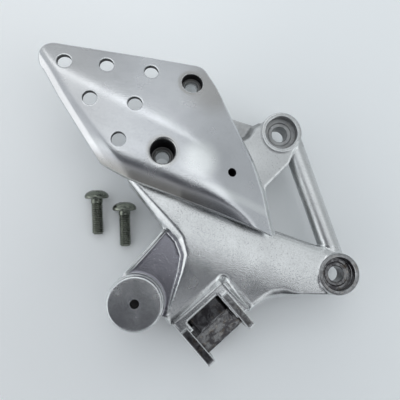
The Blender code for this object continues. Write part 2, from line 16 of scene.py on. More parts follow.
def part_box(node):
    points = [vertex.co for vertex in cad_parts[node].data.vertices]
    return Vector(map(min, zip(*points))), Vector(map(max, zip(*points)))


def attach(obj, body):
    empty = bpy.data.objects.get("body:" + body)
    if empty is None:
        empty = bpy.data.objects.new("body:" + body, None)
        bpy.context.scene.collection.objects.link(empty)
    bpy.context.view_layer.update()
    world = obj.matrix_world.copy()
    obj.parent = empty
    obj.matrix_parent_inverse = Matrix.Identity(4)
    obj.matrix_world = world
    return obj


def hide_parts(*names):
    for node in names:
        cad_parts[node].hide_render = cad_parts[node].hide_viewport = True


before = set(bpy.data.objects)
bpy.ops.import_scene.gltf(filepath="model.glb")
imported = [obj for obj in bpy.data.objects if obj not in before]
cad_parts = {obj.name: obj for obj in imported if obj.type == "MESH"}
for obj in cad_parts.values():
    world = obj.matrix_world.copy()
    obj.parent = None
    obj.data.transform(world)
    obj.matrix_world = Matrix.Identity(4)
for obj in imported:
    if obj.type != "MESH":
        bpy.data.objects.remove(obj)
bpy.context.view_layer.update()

MM = 0.001
FINE = 1.0  # spacing of the points on relief surfaces
VOXEL = 0.00062  # metres, of the casting's skin
KEPT_SHARE = 0.42  # of the skin's faces

REAR_SCREWS = ((44.9, 50.2), (14.0, 84.0))
_low, _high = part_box("guard_screw_1")
ORIGIN = Vector(
    (
        (_low[0] + _high[0]) / 2 - REAR_SCREWS[0][0] * MM,
        (_low[1] + _high[1]) / 2 - REAR_SCREWS[0][1] * MM,
        0.0,
    )
)

# Levels above the table, as in the CAD model.
BACK_Z, BOSS_TOP_Z, ARM_TOP_Z = 17.5, 36.0, 34.8
SPINE_Z = (21.5, 28.0)
LUG_TOP_Z, WEB_Z, LEDGE_Z, SEAT_Z = 38.0, 36.0, 34.5, 42.0
BODY_SKIN, GAP = 6.0, 0.3
UPPER_BOSS, LOWER_BOSS = (81.1, 81.0), (116.6, -10.2)
BOSS_R, COUNTERBORE_R, COUNTERBORE_DEPTH, FRAME_HOLE_R = 13.5, 10.5, 6.0, 5.1
GUARD_HOLES = ((21.7, 106.4), (3.9, 61.6))
GUARD_HOLE_R = 4.3
GUARD_BORES = ((6.6, 11.0), (7.3, 11.5))
LUG_R = 11.0
WINDOW_HOLES = ((-54.2, 114.7), (-29.9, 114.4), (-3.4, 112.1), (-38.7, 92.3), (-12.6, 90.0), (-21.7, 68.1))
WINDOW_HOLE_R = 4.25
TAP_R = 2.6
REAR_HOLE_R = 3.3
PIVOT = (-11.8, -27.0)
DISC_R, DRUM_R, TUBE_R, SHAFT_R, EYE_R = 16.0, 17.5, 14.5, 8.5, 2.8  # of the brake pivot boss
FEET = ((80.0, -4.0), (46.0, 78.0))
FOOT_R, FOOT_BORE_R = 7.0, 3.0
CLEVIS, AXIS_P, AXIS_E = (27.0, -28.1), (0.752, 0.659), (0.659, -0.752)
LEFT_EAR, RIGHT_EAR = (-20.0, -14.7), (13.4, 18.4)  # across the pin
EAR_START, EAR_END, EAR_TOP = 6.7, 32.8, 35.8
PIN_HOLE = (24.5, 24.5, 4.1)
STRUT_R, STRUT_Z = 6.8, 26.3
RIDGE_HEIGHT, RIDGE_HALF, RIDGE_PLACE = 0.25, 2.2, -1.2  # casting line along the strut


# ---- flat geometry ----


def rounded(corners, step=15.0):
    """Outline from (x, y, radius) corners, each radius an arc."""
    points = []
    for i, (x, y, radius) in enumerate(corners):
        here = Vector((x, y))
        before = (Vector(corners[i - 1][:2]) - here).normalized()
        after = (Vector(corners[(i + 1) % len(corners)][:2]) - here).normalized()
        if not radius:
            points.append(here)
            continue
        half = before.angle(after) / 2
        centre = here + (before + after).normalized() * radius / math.sin(half)
        first = here + before * radius / math.tan(half) - centre
        turn = first.angle_signed(here + after * radius / math.tan(half) - centre)
        parts = max(3, round(abs(math.degrees(turn)) / step))
        points += [centre + Matrix.Rotation(-turn * k / parts, 2) @ first for k in range(parts + 1)]
    return points


def divided(outline, spacing):
    """Outline with extra points, none further apart than the spacing."""
    points = []
    for start, end in zip(outline, outline[1:] + outline[:1]):
        parts = max(1, math.ceil((end - start).length / spacing))
        points += [start.lerp(end, k / parts) for k in range(parts)]
    return points


def to_line(points, line, closed=False):
    """Signed distances from an array of points to a line, positive on the line's left."""
    knots = np.array([tuple(p)[:2] for p in line], float)
    ends = np.roll(knots, -1, axis=0) if closed else knots[1:]
    starts = knots if closed else knots[:-1]
    best = np.full(len(points), np.inf)
    side = np.ones(len(points))
    for start, end in zip(starts, ends):
        along = end - start
        share = np.clip((points - start) @ along / max(along @ along, 1e-12), 0, 1)
        away = np.linalg.norm(points - start - share[:, None] * along, axis=1)
        nearer = away < best - 1e-6
        cross = along[0] * (points[:, 1] - start[1]) - along[1] * (points[:, 0] - start[0])
        side[nearer] = np.where(cross[nearer] >= 0, 1.0, -1.0)
        best = np.minimum(best, away)
    return best * side


def roll(distance, radius):
    """Drop of a rounded edge at each distance in from it."""
    inside = np.clip(distance, 0, radius)
    return radius - np.sqrt(np.maximum(radius**2 - (radius - inside) ** 2, 0))


def soft_min(values, softness):
    """Lowest of several surfaces, blended where they meet."""
    stack = np.array(values)
    low = stack.min(axis=0)
    return low - softness * np.log(np.exp((low - stack) / softness).sum(axis=0))


def smooth_step(values, low, high):
    share = np.clip((values - low) / (high - low), 0, 1)
    return share * share * (3 - 2 * share)


def within(width, away, softness):
    """How far inside a strip along an edge each point lies, with a soft start."""
    return np.log1p(np.exp(np.clip((width - away) / softness, -30, 30))) * softness


def away_from(p, place):
    """Level distances from an array of points to one place."""
    return np.hypot(p[:, 0] - place[0], p[:, 1] - place[1])


def ring_points(place, radius, count):
    angles = np.arange(0, math.tau, math.tau / count)
    return np.array(place) + radius * np.stack([np.cos(angles), np.sin(angles)], axis=1)


def plane(*corners):
    """Height function of the plane through three points."""
    a, b, c = (Vector(corner) for corner in corners)
    normal = (b - a).cross(c - a)
    return lambda p: a.z - (normal.x * (p[:, 0] - a.x) + normal.y * (p[:, 1] - a.y)) / normal.z


# ---- solids ----


def add_mesh(name, vertices, faces):
    """Object from drawing-plane points in millimetres."""
    mesh = bpy.data.meshes.new(name)
    placed = np.asarray(vertices, float) * MM + np.array(ORIGIN)
    mesh.from_pydata(placed.tolist(), [], [tuple(int(i) for i in face) for face in faces])
    mesh.validate()
    obj = bpy.data.objects.new(name, mesh)
    bpy.context.scene.collection.objects.link(obj)
    return obj


def relief(name, outline, top, bottom, cell=FINE, rings=(), holes=()):
    """Closed solid over an outline whose faces follow two height functions of an array of points.

    Rings of points follow the outline at the given distances, and circle each (place, radius) hole.
    """
    outline = divided(outline, cell)
    border = np.array([tuple(p) for p in outline])
    extra = []
    for ring in rings:
        turn = np.roll(border, -1, axis=0) - border
        inward = np.stack([-turn[:, 1], turn[:, 0]], axis=1)
        inward /= np.linalg.norm(inward, axis=1)[:, None] + 1e-12
        moved = border + turn / 2 + inward * ring
        extra.append(moved[to_line(moved, outline, True) > 0.97 * ring])
    xs = np.arange(border[:, 0].min(), border[:, 0].max(), cell)
    ys = np.arange(border[:, 1].min(), border[:, 1].max(), cell * math.sqrt(0.75))
    grid = np.array([(x + cell / 2 * (row % 2), y) for row, y in enumerate(ys) for x in xs])
    margin = max(rings, default=0) + 0.6 * cell
    grid = grid[to_line(grid, outline, True) > margin]
    for place, radius in holes:
        away = away_from(grid, place)
        grid = grid[(away < radius - 0.6) | (away > radius + 2.2)]
        extra += [ring_points(place, radius + ring, 72) for ring in (-0.4, 0.0, 0.2, 0.5, 0.9, 1.6)]
    extra.append(grid)
    points = np.vstack([border, *extra])
    count = len(border)
    edges = [(i, (i + 1) % count) for i in range(count)]
    flat, _, faces, *_ = delaunay_2d_cdt([Vector(p) for p in points], edges, [list(range(count))], 1, 1e-5)
    flat = np.array([tuple(p) for p in flat])
    faces = np.array(faces)
    total = len(flat)
    vertices = np.vstack([np.column_stack([flat, top(flat)]), np.column_stack([flat, bottom(flat)])])
    directed = {(face[i], face[(i + 1) % 3]) for face in faces for i in range(3)}
    walls = [(b, a, a + total, b + total) for a, b in directed if (b, a) not in directed]
    return add_mesh(name, vertices, [*faces.tolist(), *(faces[:, ::-1] + total).tolist(), *walls])


def level(height):
    return lambda points: np.full(len(points), float(height))


def turned(name, profile, place=(0, 0), segments=96):
    """Solid of revolution from (radius, height) points, first and last on the axis."""
    x, y = place
    inner = profile[1:-1]
    vertices = [(x, y, profile[0][1])]
    for radius, height in inner:
        for k in range(segments):
            angle = math.tau * k / segments
            vertices.append((x + radius * math.cos(angle), y + radius * math.sin(angle), height))
    vertices.append((x, y, profile[-1][1]))
    return closed_mesh(name, vertices, ring_faces(segments, len(inner)))


def ring_faces(around, rows):
    """Faces between rows of points that lie round an axis, with one more point at each end of it."""
    faces = []
    for k in range(around):
        following = (k + 1) % around
        faces.append((0, 1 + k, 1 + following))
        for row in range(rows - 1):
            a, b = 1 + row * around, 1 + (row + 1) * around
            faces.append((a + k, b + k, b + following, a + following))
        end = 1 + (rows - 1) * around
        faces.append((end + around, end + following, end + k))
    return faces


def closed_mesh(name, vertices, faces):
    """Object like add_mesh's, with its faces turned outward."""
    obj = add_mesh(name, vertices, faces)
    bm = bmesh.new()
    bm.from_mesh(obj.data)
    bmesh.ops.recalc_face_normals(bm, faces=bm.faces)
    bm.to_mesh(obj.data)
    bm.free()
    return obj


def drum(name, place, low, high, radius, edge=0.5):
    """Cylinder with a rounded upper rim."""
    angles = (0, 0.4, 0.8, 1.2, math.pi / 2)
    arc = [(radius - edge + edge * math.sin(a), high - edge + edge * math.cos(a)) for a in angles]
    return turned(name, [(0, high), *arc, (radius, low), (0, low)], place)


def clevis_point(along_pin, along_ear):
    x, y = (CLEVIS[i] + AXIS_P[i] * along_pin + AXIS_E[i] * along_ear for i in (0, 1))
    return Vector((x, y))


def clevis_solid(name, sides, outline, slices=1):
    """Solid between two planes across the pin, outlined along the ears and in height."""
    count = len(outline)
    vertices = []
    for across in np.linspace(*sides, slices + 1):
        vertices += [(*clevis_point(across, along), height) for along, height in outline]
    faces = [tuple(range(count)), tuple(range((slices + 1) * count - 1, slices * count - 1, -1))]
    for first in range(0, slices * count, count):
        for i in range(count):
            j = (i + 1) % count
            faces.append((first + i, first + i + count, first + j + count, first + j))
    return closed_mesh(name, vertices, faces)


def strut_bar(start, end):
    """Round bar whose casting line shows as a low ridge along its top."""
    section = []
    for a in np.arange(0, math.tau, math.tau / 48):
        across, height = STRUT_R * math.sin(a), STRUT_R * math.cos(a)
        ridge = RIDGE_HEIGHT * max(0.0, 1 - abs(across - RIDGE_PLACE) / RIDGE_HALF) * (height > 0)
        section.append((across, height + ridge))
    along = (end - start).normalized()
    side = Vector((-along.y, along.x, 0))
    up = side.cross(along) * -1
    vertices = []
    for place in (start, end):
        vertices += [place - side * across + up * height for across, height in section]
    count = len(section)
    faces = [tuple(range(count)), tuple(range(2 * count - 1, count - 1, -1))]
    faces += [(i, i + count, (i + 1) % count + count, (i + 1) % count) for i in range(count)]
    return closed_mesh("strut", vertices, faces)


def joined(name, objects):
    """One object from several, which are removed."""
    bm = bmesh.new()
    for obj in objects:
        bm.from_mesh(obj.data)
        bpy.data.objects.remove(obj)
    mesh = bpy.data.meshes.new(name)
    bm.to_mesh(mesh)
    bm.free()
    obj = bpy.data.objects.new(name, mesh)
    bpy.context.scene.collection.objects.link(obj)
    return obj


def apply_modifiers(obj):
    graph = bpy.context.evaluated_depsgraph_get()
    mesh = bpy.data.meshes.new_from_object(obj.evaluated_get(graph))
    obj.modifiers.clear()
    obj.data = mesh
    return obj


def cast(obj, passes):
    """Fuses overlapping closed shapes into one skin and rounds its edges, as a casting's are."""
    remesh = obj.modifiers.new("fuse", "REMESH")
    remesh.mode = "VOXEL"
    remesh.voxel_size = VOXEL
    soften = obj.modifiers.new("soften", "SMOOTH")
    soften.factor = 0.5
    soften.iterations = passes
    thin_out = obj.modifiers.new("thin_out", "DECIMATE")
    thin_out.ratio = KEPT_SHARE
    return apply_modifiers(obj)


def combine(obj, tool, operation):
    """Joins the tool to an object or cuts it out, and removes the tool."""
    modifier = obj.modifiers.new(operation, "BOOLEAN")
    modifier.operation = operation
    modifier.solver = "MANIFOLD"
    modifier.object = tool
    apply_modifiers(obj)
    bpy.data.objects.remove(tool)


# ---- hanger bracket ----

BAND_FOOT = ((6, -40), (10.6, -22.4), (14.4, -8.4), (16, 1.7), (12.8, 10.3), (5.6, 18.2), (-19, 44))
RISER_SLOPE, BAND_RISE = 4.6, 1.05  # a steep first millimetre, then the bevel
RIM_LINE = ((-17.1, 46.7), (-0.9, 27), (4.7, 17.8), (-3.1, 8.5), (-21.6, -12))
RIM_WIDTH, RIM_HEIGHT = 2.4, 2.2
CHEVRON_FOOT = [clevis_point(-22, -0.8), clevis_point(20.4, -0.8), clevis_point(20.4, 26)]
CHEVRON_RISE = 1.3
FLANGE_LINE = ((60, 22.5), (77.5, 17), (104.1, 8.3))
FLANGE_WIDTH, FLANGE_SLOPE = 4.5, 0.4
BODY_POCKETS = (
    ((17, -15, 1.2), (25, -8, 0), (37, 2, 4), (41, 0, 3), (41, 25, 3), (8, 36, 3), (24, 14, 3), (25, 0, 3)),
    ((45, -4, 3), (65, -21.5, 3), (71, -19, 3), (71, 14, 3), (45, 24, 3)),
    ((88, -18, 3), (100, -19, 3), (102, 4, 3), (88, 8.5, 3)),
)
WEB_POCKET = ((-9, -5, 2), (6, -15, 2), (9, -3, 2), (9, 4, 2), (5, 11, 2))
ARM_POCKET = ((61, 44, 3), (67, 48, 3), (80, 62, 3), (76, 66, 3), (66, 74, 3), (60, 66, 3))
ARM_EDGE = ((71, 30), (70.5, 45.3), (85.9, 60.6), (92, 74))
DRAFT = 7.0  # rise of a hollow's wall for each millimetre inwards


def casting_outline():
    return rounded(
        [
            (*clevis_point(-22, -0.8), 0), (*clevis_point(20.4, -0.8), 1.5),
            (*clevis_point(20.4, 25), 1), (*clevis_point(24, 25), 2), (69.2, -26.3, 20),
            (92.5, -22.9, 0), (114, -23.6, 0), (126, -10, 0), (118, 3.4, 0),
            (104.1, 8.3, 0), (77.5, 17, 4), (66, 20, 0), (27, 35, 0), (6, 42.5, 0),
            (-14, 50.5, 1), (-18, 48, 1), (-0.9, 27, 0), (5.2, 17.8, 2.5), (-3.1, 8.5, 0),
            (-27, -18, 0), (-12, -30, 0), (2.8, -34.6, 0), (6.4, -36.4, 0),
        ]
    )


def seam_distance(p):
    """Distance past the guard's seam, towards the clevis."""
    return (p[:, 0] + 16.8) * -0.341 + (p[:, 1] - 46.3) * -0.940


def body_crown(p):
    """Height of the body's crowned face."""
    return 45.0 - 0.11 * np.maximum(p[:, 0] - 15.0, 0.0) - 0.0018 * np.maximum(seam_distance(p), 0.0) ** 2


def casting_body():
    outline = casting_outline()

    def top(p):
        beyond = -to_line(p, BAND_FOOT)
        edge = to_line(p, outline, True)
        rim = np.clip(2.0 * (1.0 - np.abs(to_line(p, RIM_LINE)) / RIM_WIDTH), 0, 1)
        web = WEB_Z + RIM_HEIGHT * rim
        band = WEB_Z + np.minimum(RISER_SLOPE * beyond, RISER_SLOPE + BAND_RISE * (beyond - 1.0))
        chevron = LEDGE_Z + 1.0 + CHEVRON_RISE * np.abs(to_line(p, CHEVRON_FOOT))
        near_side = smooth_step(-p[:, 1], 10, 16)
        radius = 4.0 + near_side * (3.0 * smooth_step(p[:, 0], 62, 75) - 5.5 * smooth_step(p[:, 0], 78, 92))
        flange = FLANGE_SLOPE * np.maximum(FLANGE_WIDTH - np.abs(to_line(p, FLANGE_LINE)), 0)
        crowned = body_crown(p) - roll(edge, radius) - flange
        return np.where(beyond <= 0, web, soft_min((band, chevron, crowned), 0.35))

    def bottom(p):
        level_now = np.full(len(p), BACK_Z)
        for corners in BODY_POCKETS:
            depth = np.maximum(to_line(p, rounded(corners), True), 0) * DRAFT
            level_now = np.maximum(level_now, np.minimum(BACK_Z + depth, body_crown(p) - BODY_SKIN))
        depth = np.maximum(to_line(p, rounded(WEB_POCKET), True), 0) * DRAFT
        return np.maximum(level_now, np.minimum(BACK_Z + depth, WEB_Z - BODY_SKIN))

    return relief("casting_body", outline, top, bottom, rings=(0.4, 1.2, 2.2))


def frame_arm():
    corners = (
        (52, 62, 0), (57, 22, 0), (67, 17, 0), (71, 30, 0), (70.5, 45.3, 3),
        (85.9, 60.6, 2), (92, 74, 0), (81, 88, 0), (67.0, 88.5, 0), (62.1, 86.0, 0),
        (57.9, 79.5, 0), (54.0, 77.0, 0),
    )

    def bottom(p):
        depth = np.maximum(to_line(p, rounded(ARM_POCKET), True), 0) * DRAFT
        return np.minimum(BACK_Z + depth, ARM_TOP_Z - BODY_SKIN)

    outline = rounded(corners)
    foot = rounded(((70, 91, 0), (62.1, 86.0, 0), (57.9, 79.5, 3), (50.0, 75.5, 0)))

    def top(p):
        sloped = SPINE_Z[1] + 1.9 * np.abs(to_line(p, foot))
        return np.minimum(ARM_TOP_Z - roll(to_line(p, outline, True), 1.2), sloped)

    return relief("frame_arm", outline, top, bottom, rings=(0.3, 0.8))


def spine():
    corners = (
        (-8, 47, 3), (20, 32, 0), (62, 16, 0), (68, 60, 0), (72, 84, 0), (65.5, 86.5, 2),
        (49, 91.5, 3), (31, 114, 4), (12, 111, 3), (-6.5, 66, 5),
    )

    def bottom(p):
        depth = np.maximum(to_line(p, rounded(ARM_POCKET), True), 0) * DRAFT
        return np.minimum(SPINE_Z[0] + depth, SPINE_Z[1] - 0.6)

    return relief("spine", rounded(corners), level(SPINE_Z[1]), bottom, cell=1.5)


def clevis_block():
    """Cast block behind the footrest, with the floor it folds down on."""
    block = ((-9, 9), (4.5, 9), (4.5, LEDGE_Z - 3), (3.0, LEDGE_Z), (-9, LEDGE_Z))
    left = ((-4, 9), (8, 5), (10, 5), (10, LEDGE_Z), (-4, LEDGE_Z))
    right = ((-4, 9), (8, 5), (23, 12), (23, LEDGE_Z), (-4, LEDGE_Z))
    floor = ((0, 10), (24, 6), (30.5, 8.5), (31.5, 11.5), (17.0, 20.5), (0, 20.5))
    return [
        clevis_solid("clevis_block", (LEFT_EAR[0] + 0.4, 21.5), block),
        clevis_solid("clevis_left", (LEFT_EAR[0] + 0.4, LEFT_EAR[1] + 2.2), left),
        clevis_solid("clevis_right", (RIGHT_EAR[0] - 1.0, RIGHT_EAR[1] + 1.6), right),
        clevis_solid("clevis_floor", (LEFT_EAR[1] - 1, RIGHT_EAR[0] + 1), floor),
    ]


def bevelled(obj, width, segments=2):
    bevel = obj.modifiers.new("bevel", "BEVEL")
    bevel.width = width * MM
    bevel.segments = segments
    bevel.limit_method = "ANGLE"
    bevel.angle_limit = math.radians(35)
    return apply_modifiers(obj)


def clevis_ears():
    """The two ears that carry the footrest pin and the pad the footrest stops on, with crisp edges."""
    ear = rounded(
        (
            (-4, 9, 0), (8, 4.5, 3), (26, 4.5, 5), (EAR_END, 14, 6),
            (EAR_END, EAR_TOP, 1.2), (EAR_START, EAR_TOP, 0.5),
            (EAR_START - 0.4, LEDGE_Z, 0), (-4, LEDGE_Z - 0.6, 0),
        )
    )
    pad = rounded(((1, 17, 0), (17.0, 17, 0), (17.0, 21.2, 0), (15.6, 23.6, 0), (3.0, 25, 0), (1, 25, 0)))
    return [
        bevelled(clevis_solid("ear_left", LEFT_EAR, divided(ear, 0.9), 9), 0.6, 3),
        bevelled(clevis_solid("ear_right", RIGHT_EAR, divided(ear, 0.9), 9), 0.6, 3),
        bevelled(clevis_solid("pad", (-10.7, 11.0), divided(pad, 1.0), 22), 0.35),
    ]


def wall(radius, low, high, spacing=1.5):
    """Profile points up a bore's wall."""
    return [(radius, height) for height in np.linspace(low, high, max(2, round((high - low) / spacing) + 1))]


def stepped_bore(name, place, hole_r, low, steps, top, chamfer=0.35):
    """Cutter for a bore that widens upwards at each (radius, level) step, with a chamfer at its mouth."""
    profile = [(0, low)]
    radius = hole_r
    for next_radius, height in steps:
        profile += [*wall(radius, low, height - 0.4), (radius + 0.4, height)]
        profile += [(ring, height) for ring in np.arange(radius + 0.9, next_radius - 0.3, 0.6)]
        profile += [(next_radius - 0.25, height), (next_radius, height + 0.25)]
        radius, low = next_radius, height + 0.3
    mouth = radius + (chamfer + 3 if chamfer else 0)
    profile += [*wall(radius, low, top - chamfer), (mouth, top + 3.0), (0, top + 3.0)]
    return turned(name, profile, place)


def boss_cap(place):
    """Turned end of a frame boss."""
    rim = BOSS_R - 0.3
    face = np.arange(COUNTERBORE_R - 1, rim - 0.8, 0.5)
    profile = [(0, BOSS_TOP_Z), *((radius, BOSS_TOP_Z) for radius in face)]
    profile += [(rim - 0.7, BOSS_TOP_Z), (rim - 0.3, BOSS_TOP_Z - 0.12), (rim, BOSS_TOP_Z - 0.5)]
    profile += [(rim, BOSS_TOP_Z - 3.0), (rim - 1.7, BOSS_TOP_Z - 8.0), (0, BOSS_TOP_Z - 8.0)]
    return turned("boss_cap", profile, place)


def pivot_cap():
    """Turned disc on the brake pivot boss."""
    profile = [(0, 46.0), *((radius, 46.0) for radius in np.arange(1.5, 15.1, 0.9))]
    profile += [(15.7, 45.97), (15.9, 45.85), (DISC_R, 45.55), (DISC_R, 40.4), (16.4, 39.6)]
    profile += [(17.1, 39.1), (DRUM_R, 38.4), (DRUM_R, 34.0), (0, 30.0)]
    return turned("pivot_cap", profile, PIVOT, 128)


def rod(name, place, radius, low, high, segments=96):
    """Plain round cutter."""
    return turned(name, [(0, low), (radius, low), (radius, high), (0, high)], place, segments)


def post(name, place, high, top_r, low, foot_r):
    """Tapered round post."""
    return turned(name, [(0, high), (top_r, high), (foot_r, low), (0, low)], place)


def hanger():
    """The casting: rough shapes fused, turned ends and crisp ears added, then every bore cut."""
    shapes = [casting_body(), frame_arm(), spine(), *clevis_block()]
    start, end = Vector((*UPPER_BOSS, STRUT_Z)), Vector((*LOWER_BOSS, STRUT_Z))
    start.x += 7.5
    end.x += 3.0
    shapes.append(strut_bar(start, end))
    bosses = (UPPER_BOSS, LOWER_BOSS)
    shapes += [drum("boss", place, BACK_Z, BOSS_TOP_Z - 0.5, BOSS_R) for place in bosses]
    shapes.append(drum("pivot_drum", PIVOT, BACK_Z, 38.5, DRUM_R))
    shapes.append(drum("pivot_tube", PIVOT, 0, BACK_Z + 3, TUBE_R))
    shapes += [post("lug", place, LUG_TOP_Z, LUG_R - 1.5, BACK_Z, LUG_R) for place in GUARD_HOLES]
    shapes += [drum("foot", place, 0, 27, FOOT_R) for place in FEET]
    body = cast(joined("hanger_casting", shapes), 4)
    combine(body, joined("caps", [*map(boss_cap, bosses), pivot_cap()]), "UNION")
    for ear in clevis_ears():
        combine(body, ear, "UNION")
    floor = BOSS_TOP_Z - COUNTERBORE_DEPTH
    steps = ((7.6, floor - 0.6), (COUNTERBORE_R, floor))
    foot_bore = [(0, -5), (6.0, -2.6), (FOOT_BORE_R, 0.4), (FOOT_BORE_R, 11), (0, 12.5)]
    cuts = [stepped_bore("bore", place, FRAME_HOLE_R, 5, steps, BOSS_TOP_Z) for place in bosses]
    cuts += [stepped_bore("lug_bore", place, GUARD_HOLE_R, 5, (), LUG_TOP_Z) for place in GUARD_HOLES]
    cuts += [rod("rear_bore", place, REAR_HOLE_R, 5, SPINE_Z[1] + 4) for place in REAR_SCREWS]
    cuts += [turned("foot_bore", foot_bore, place) for place in FEET]
    shaft = [(0, -5), (12, -3.0), (SHAFT_R, 0.5), (SHAFT_R, 32), (0, 32)]
    cuts.append(turned("pivot_bore", shaft, PIVOT))
    cuts.append(turned("pivot_eye", [(0, 30), *wall(EYE_R, 30, 48.5), (0, 48.5)], PIVOT, 64))
    along, height, radius = PIN_HOLE
    angles = [k * math.tau / 48 for k in range(48)]
    pin = [(along + radius * math.cos(a), height + radius * math.sin(a)) for a in angles]
    cuts.append(clevis_solid("pin_bore", (LEFT_EAR[0] - 8, RIGHT_EAR[1] + 8), pin))
    combine(body, joined("cuts", cuts), "DIFFERENCE")
    return body


# ---- heel guard ----

GUARD_SKIN = 3.8
LIP_HEIGHT, LIP_GAIN = 10.2, 4.2  # of the guard's edge over the body, and what it gains towards its tip
GUARD_LEFT = ((-73.0, 121.2), (-70.8, 117.4), (-66.2, 109.6), (-57.3, 93.8), (-42.2, 69.7), (-24.0, 42.0))
GUARD_RIGHT = ((75, 13), (68.0, 40.0), (60.0, 59.2), (46.4, 84.4), (41.0, 96.0))
SEAM = ((-55, 62.2), (-30, 51.8), (-16.8, 46.3), (5.7, 38.0), (73.5, 12.5))
UPPER_STRIP = plane((-42.4, 101.4, 61.8), (28.2, 65.7, 61.8), (21.7, 106.4, 51.8))
PLATEAU = plane((-42.4, 101.4, 61.6), (28.2, 65.7, 62.0), (3.9, 61.6, 62.3))
RIGHT_SLOPE = plane((46.4, 84.4, 53.6), (73.5, 14, 46.5), (44.9, 50.2, 60.1))
BAND_WIDTH, BAND_SLOPE = 3.2, 0.82
SHOULDER_SLOPE = 0.36
BEVEL_SLOPE = 0.8
EDGE_SOFTNESS, SHOULDER_SOFTNESS = 0.16, 0.7
# Distance from the seam, slope.
ROLL_SLOPES = ((0.0, 0.76), (4.0, 0.62), (8.0, 0.36), (12.0, 0.20), (23.0, 0.0))
POST_R = 7.0


def guard_outline():
    return rounded(
        [
            (74.6, 11.6, 2.4), (68.2, 40.2, 0), (60.2, 59.4, 0), (46.4, 84.4, 0),
            (36.6, 105.5, 8), (28.5, 118.8, 8), (-10.4, 122.6, 0), (-56.3, 126.3, 0),
            (-81.0, 129.6, 9.5), (-66.4, 109.8, 0), (-57.5, 93.9, 0), (-42.2, 69.7, 0),
            (-32.6, 55, 8), (-16.8, 46.3, 20), (5.7, 38, 0),
        ]
    )


def lower_roll(distance):
    """Share of the drop to the lip, which steepens towards the seam."""
    steps = np.arange(0, ROLL_SLOPES[-1][0] + 0.1, 0.1)
    slopes = np.interp(steps, *zip(*ROLL_SLOPES))
    drops = np.cumsum(slopes[::-1])[::-1]
    return np.interp(distance, steps, drops / drops[0], right=0.0)


def bevel_width(p):
    """Width of the guard's right-hand bevel, which grows towards its tip."""
    return 1.0 + 3.2 * smooth_step(-p[:, 1], -75, -15)


def guard_form(p):
    """Height of the guard's outer face, before its edges are rounded."""
    upper = soft_min((UPPER_STRIP(p), PLATEAU(p)), 0.5)
    form = soft_min((upper, RIGHT_SLOPE(p)), 3.6)
    whole = form
    left = np.abs(to_line(p, GUARD_LEFT))
    shoulder = 6.2 + 3.2 * smooth_step(-p[:, 1], -110, -65)
    form = form - SHOULDER_SLOPE * within(shoulder, left, SHOULDER_SOFTNESS)
    form -= (BAND_SLOPE - SHOULDER_SLOPE) * within(BAND_WIDTH, left, EDGE_SOFTNESS)
    shouldered = form + 0.6 * (whole - form)
    right = np.abs(to_line(p, GUARD_RIGHT))
    form -= BEVEL_SLOPE * within(bevel_width(p), right, EDGE_SOFTNESS)
    to_tip = smooth_step(p[:, 0], -10, 60)
    lip = body_crown(p) + LIP_HEIGHT + LIP_GAIN * to_tip
    away = np.maximum(to_line(p, SEAM), 0) * (1 + 0.35 * to_tip)
    return form - np.maximum(shouldered - lip, 0) * lower_roll(away)


def guard():
    """The heel guard: a formed shell with posts behind it for its screws."""
    outline = guard_outline()

    def top(p):
        height = guard_form(p) - roll(to_line(p, outline, True), 0.6)
        for place in WINDOW_HOLES:
            height -= roll(away_from(p, place) - WINDOW_HOLE_R, 0.5)
        return height - roll(away_from(p, GUARD_HOLES[1]) - GUARD_BORES[1][0], 1.6)

    def bottom(p):
        inner = guard_form(p) - GUARD_SKIN
        seated = np.maximum(inner, body_crown(p) + GAP)
        return np.where(seam_distance(p) > -7.0, seated, inner)

    holes = [(place, WINDOW_HOLE_R) for place in WINDOW_HOLES] + [(REAR_SCREWS[0], TAP_R)]
    holes += [(place, bore_r) for place, (bore_r, _) in zip(GUARD_HOLES, GUARD_BORES)]
    shell = relief("heel_guard_shell", outline, top, bottom, rings=(0.15, 0.4, 0.8), holes=holes)
    posts = []
    cuts = []

    def inside(place, radius):
        """Level at which a post under the skin stays hidden."""
        return guard_form(ring_points(place, radius, 24)).min() - 1.5

    low = LUG_TOP_Z + GAP
    for place, (bore_r, boss_r) in zip(GUARD_HOLES, GUARD_BORES):
        posts.append(post("guard_boss", place, inside(place, boss_r), boss_r, low, boss_r - 1.2))
        mouth = float(guard_form(np.array([place]))[0]) + 8
        steps = ((5.6, SEAT_Z - 0.5), (bore_r, SEAT_Z))
        cuts.append(stepped_bore("guard_bore", place, GUARD_HOLE_R, low - 5, steps, mouth, 0.0))
    low = SPINE_Z[1] + GAP
    for place, reach in zip(REAR_SCREWS, (75, SPINE_Z[1] + 14)):
        posts.append(post("post", place, inside(place, POST_R), POST_R, low, POST_R - 1.0))
        cuts.append(rod("tap", place, TAP_R, low - 5, reach, 64))
    cuts += [rod("window", place, WINDOW_HOLE_R, 30, 80) for place in WINDOW_HOLES]
    for solid in posts:
        combine(shell, solid, "UNION")
    combine(shell, joined("guard_cuts", cuts), "DIFFERENCE")
    return shell


# ---- screws ----

SCREW_HEAD_R, SCREW_HEAD_H, SCREW_RIM_H = 8.0, 5.8, 1.2
SCREW_R, SCREW_LENGTH, TIP_CHAMFER = 3.95, 24.0, 0.9
PITCH, THREAD_DEPTH, NECK = 1.25, 0.68, 2.6
SOCKET_HALF, SOCKET_DEPTH = 2.9, 3.4
SCREW_PLACES = {"frame_screw_upper": ((-39.5, 39.9), 2.2), "frame_screw_lower": ((-20.9, 32.0), 2.0)}


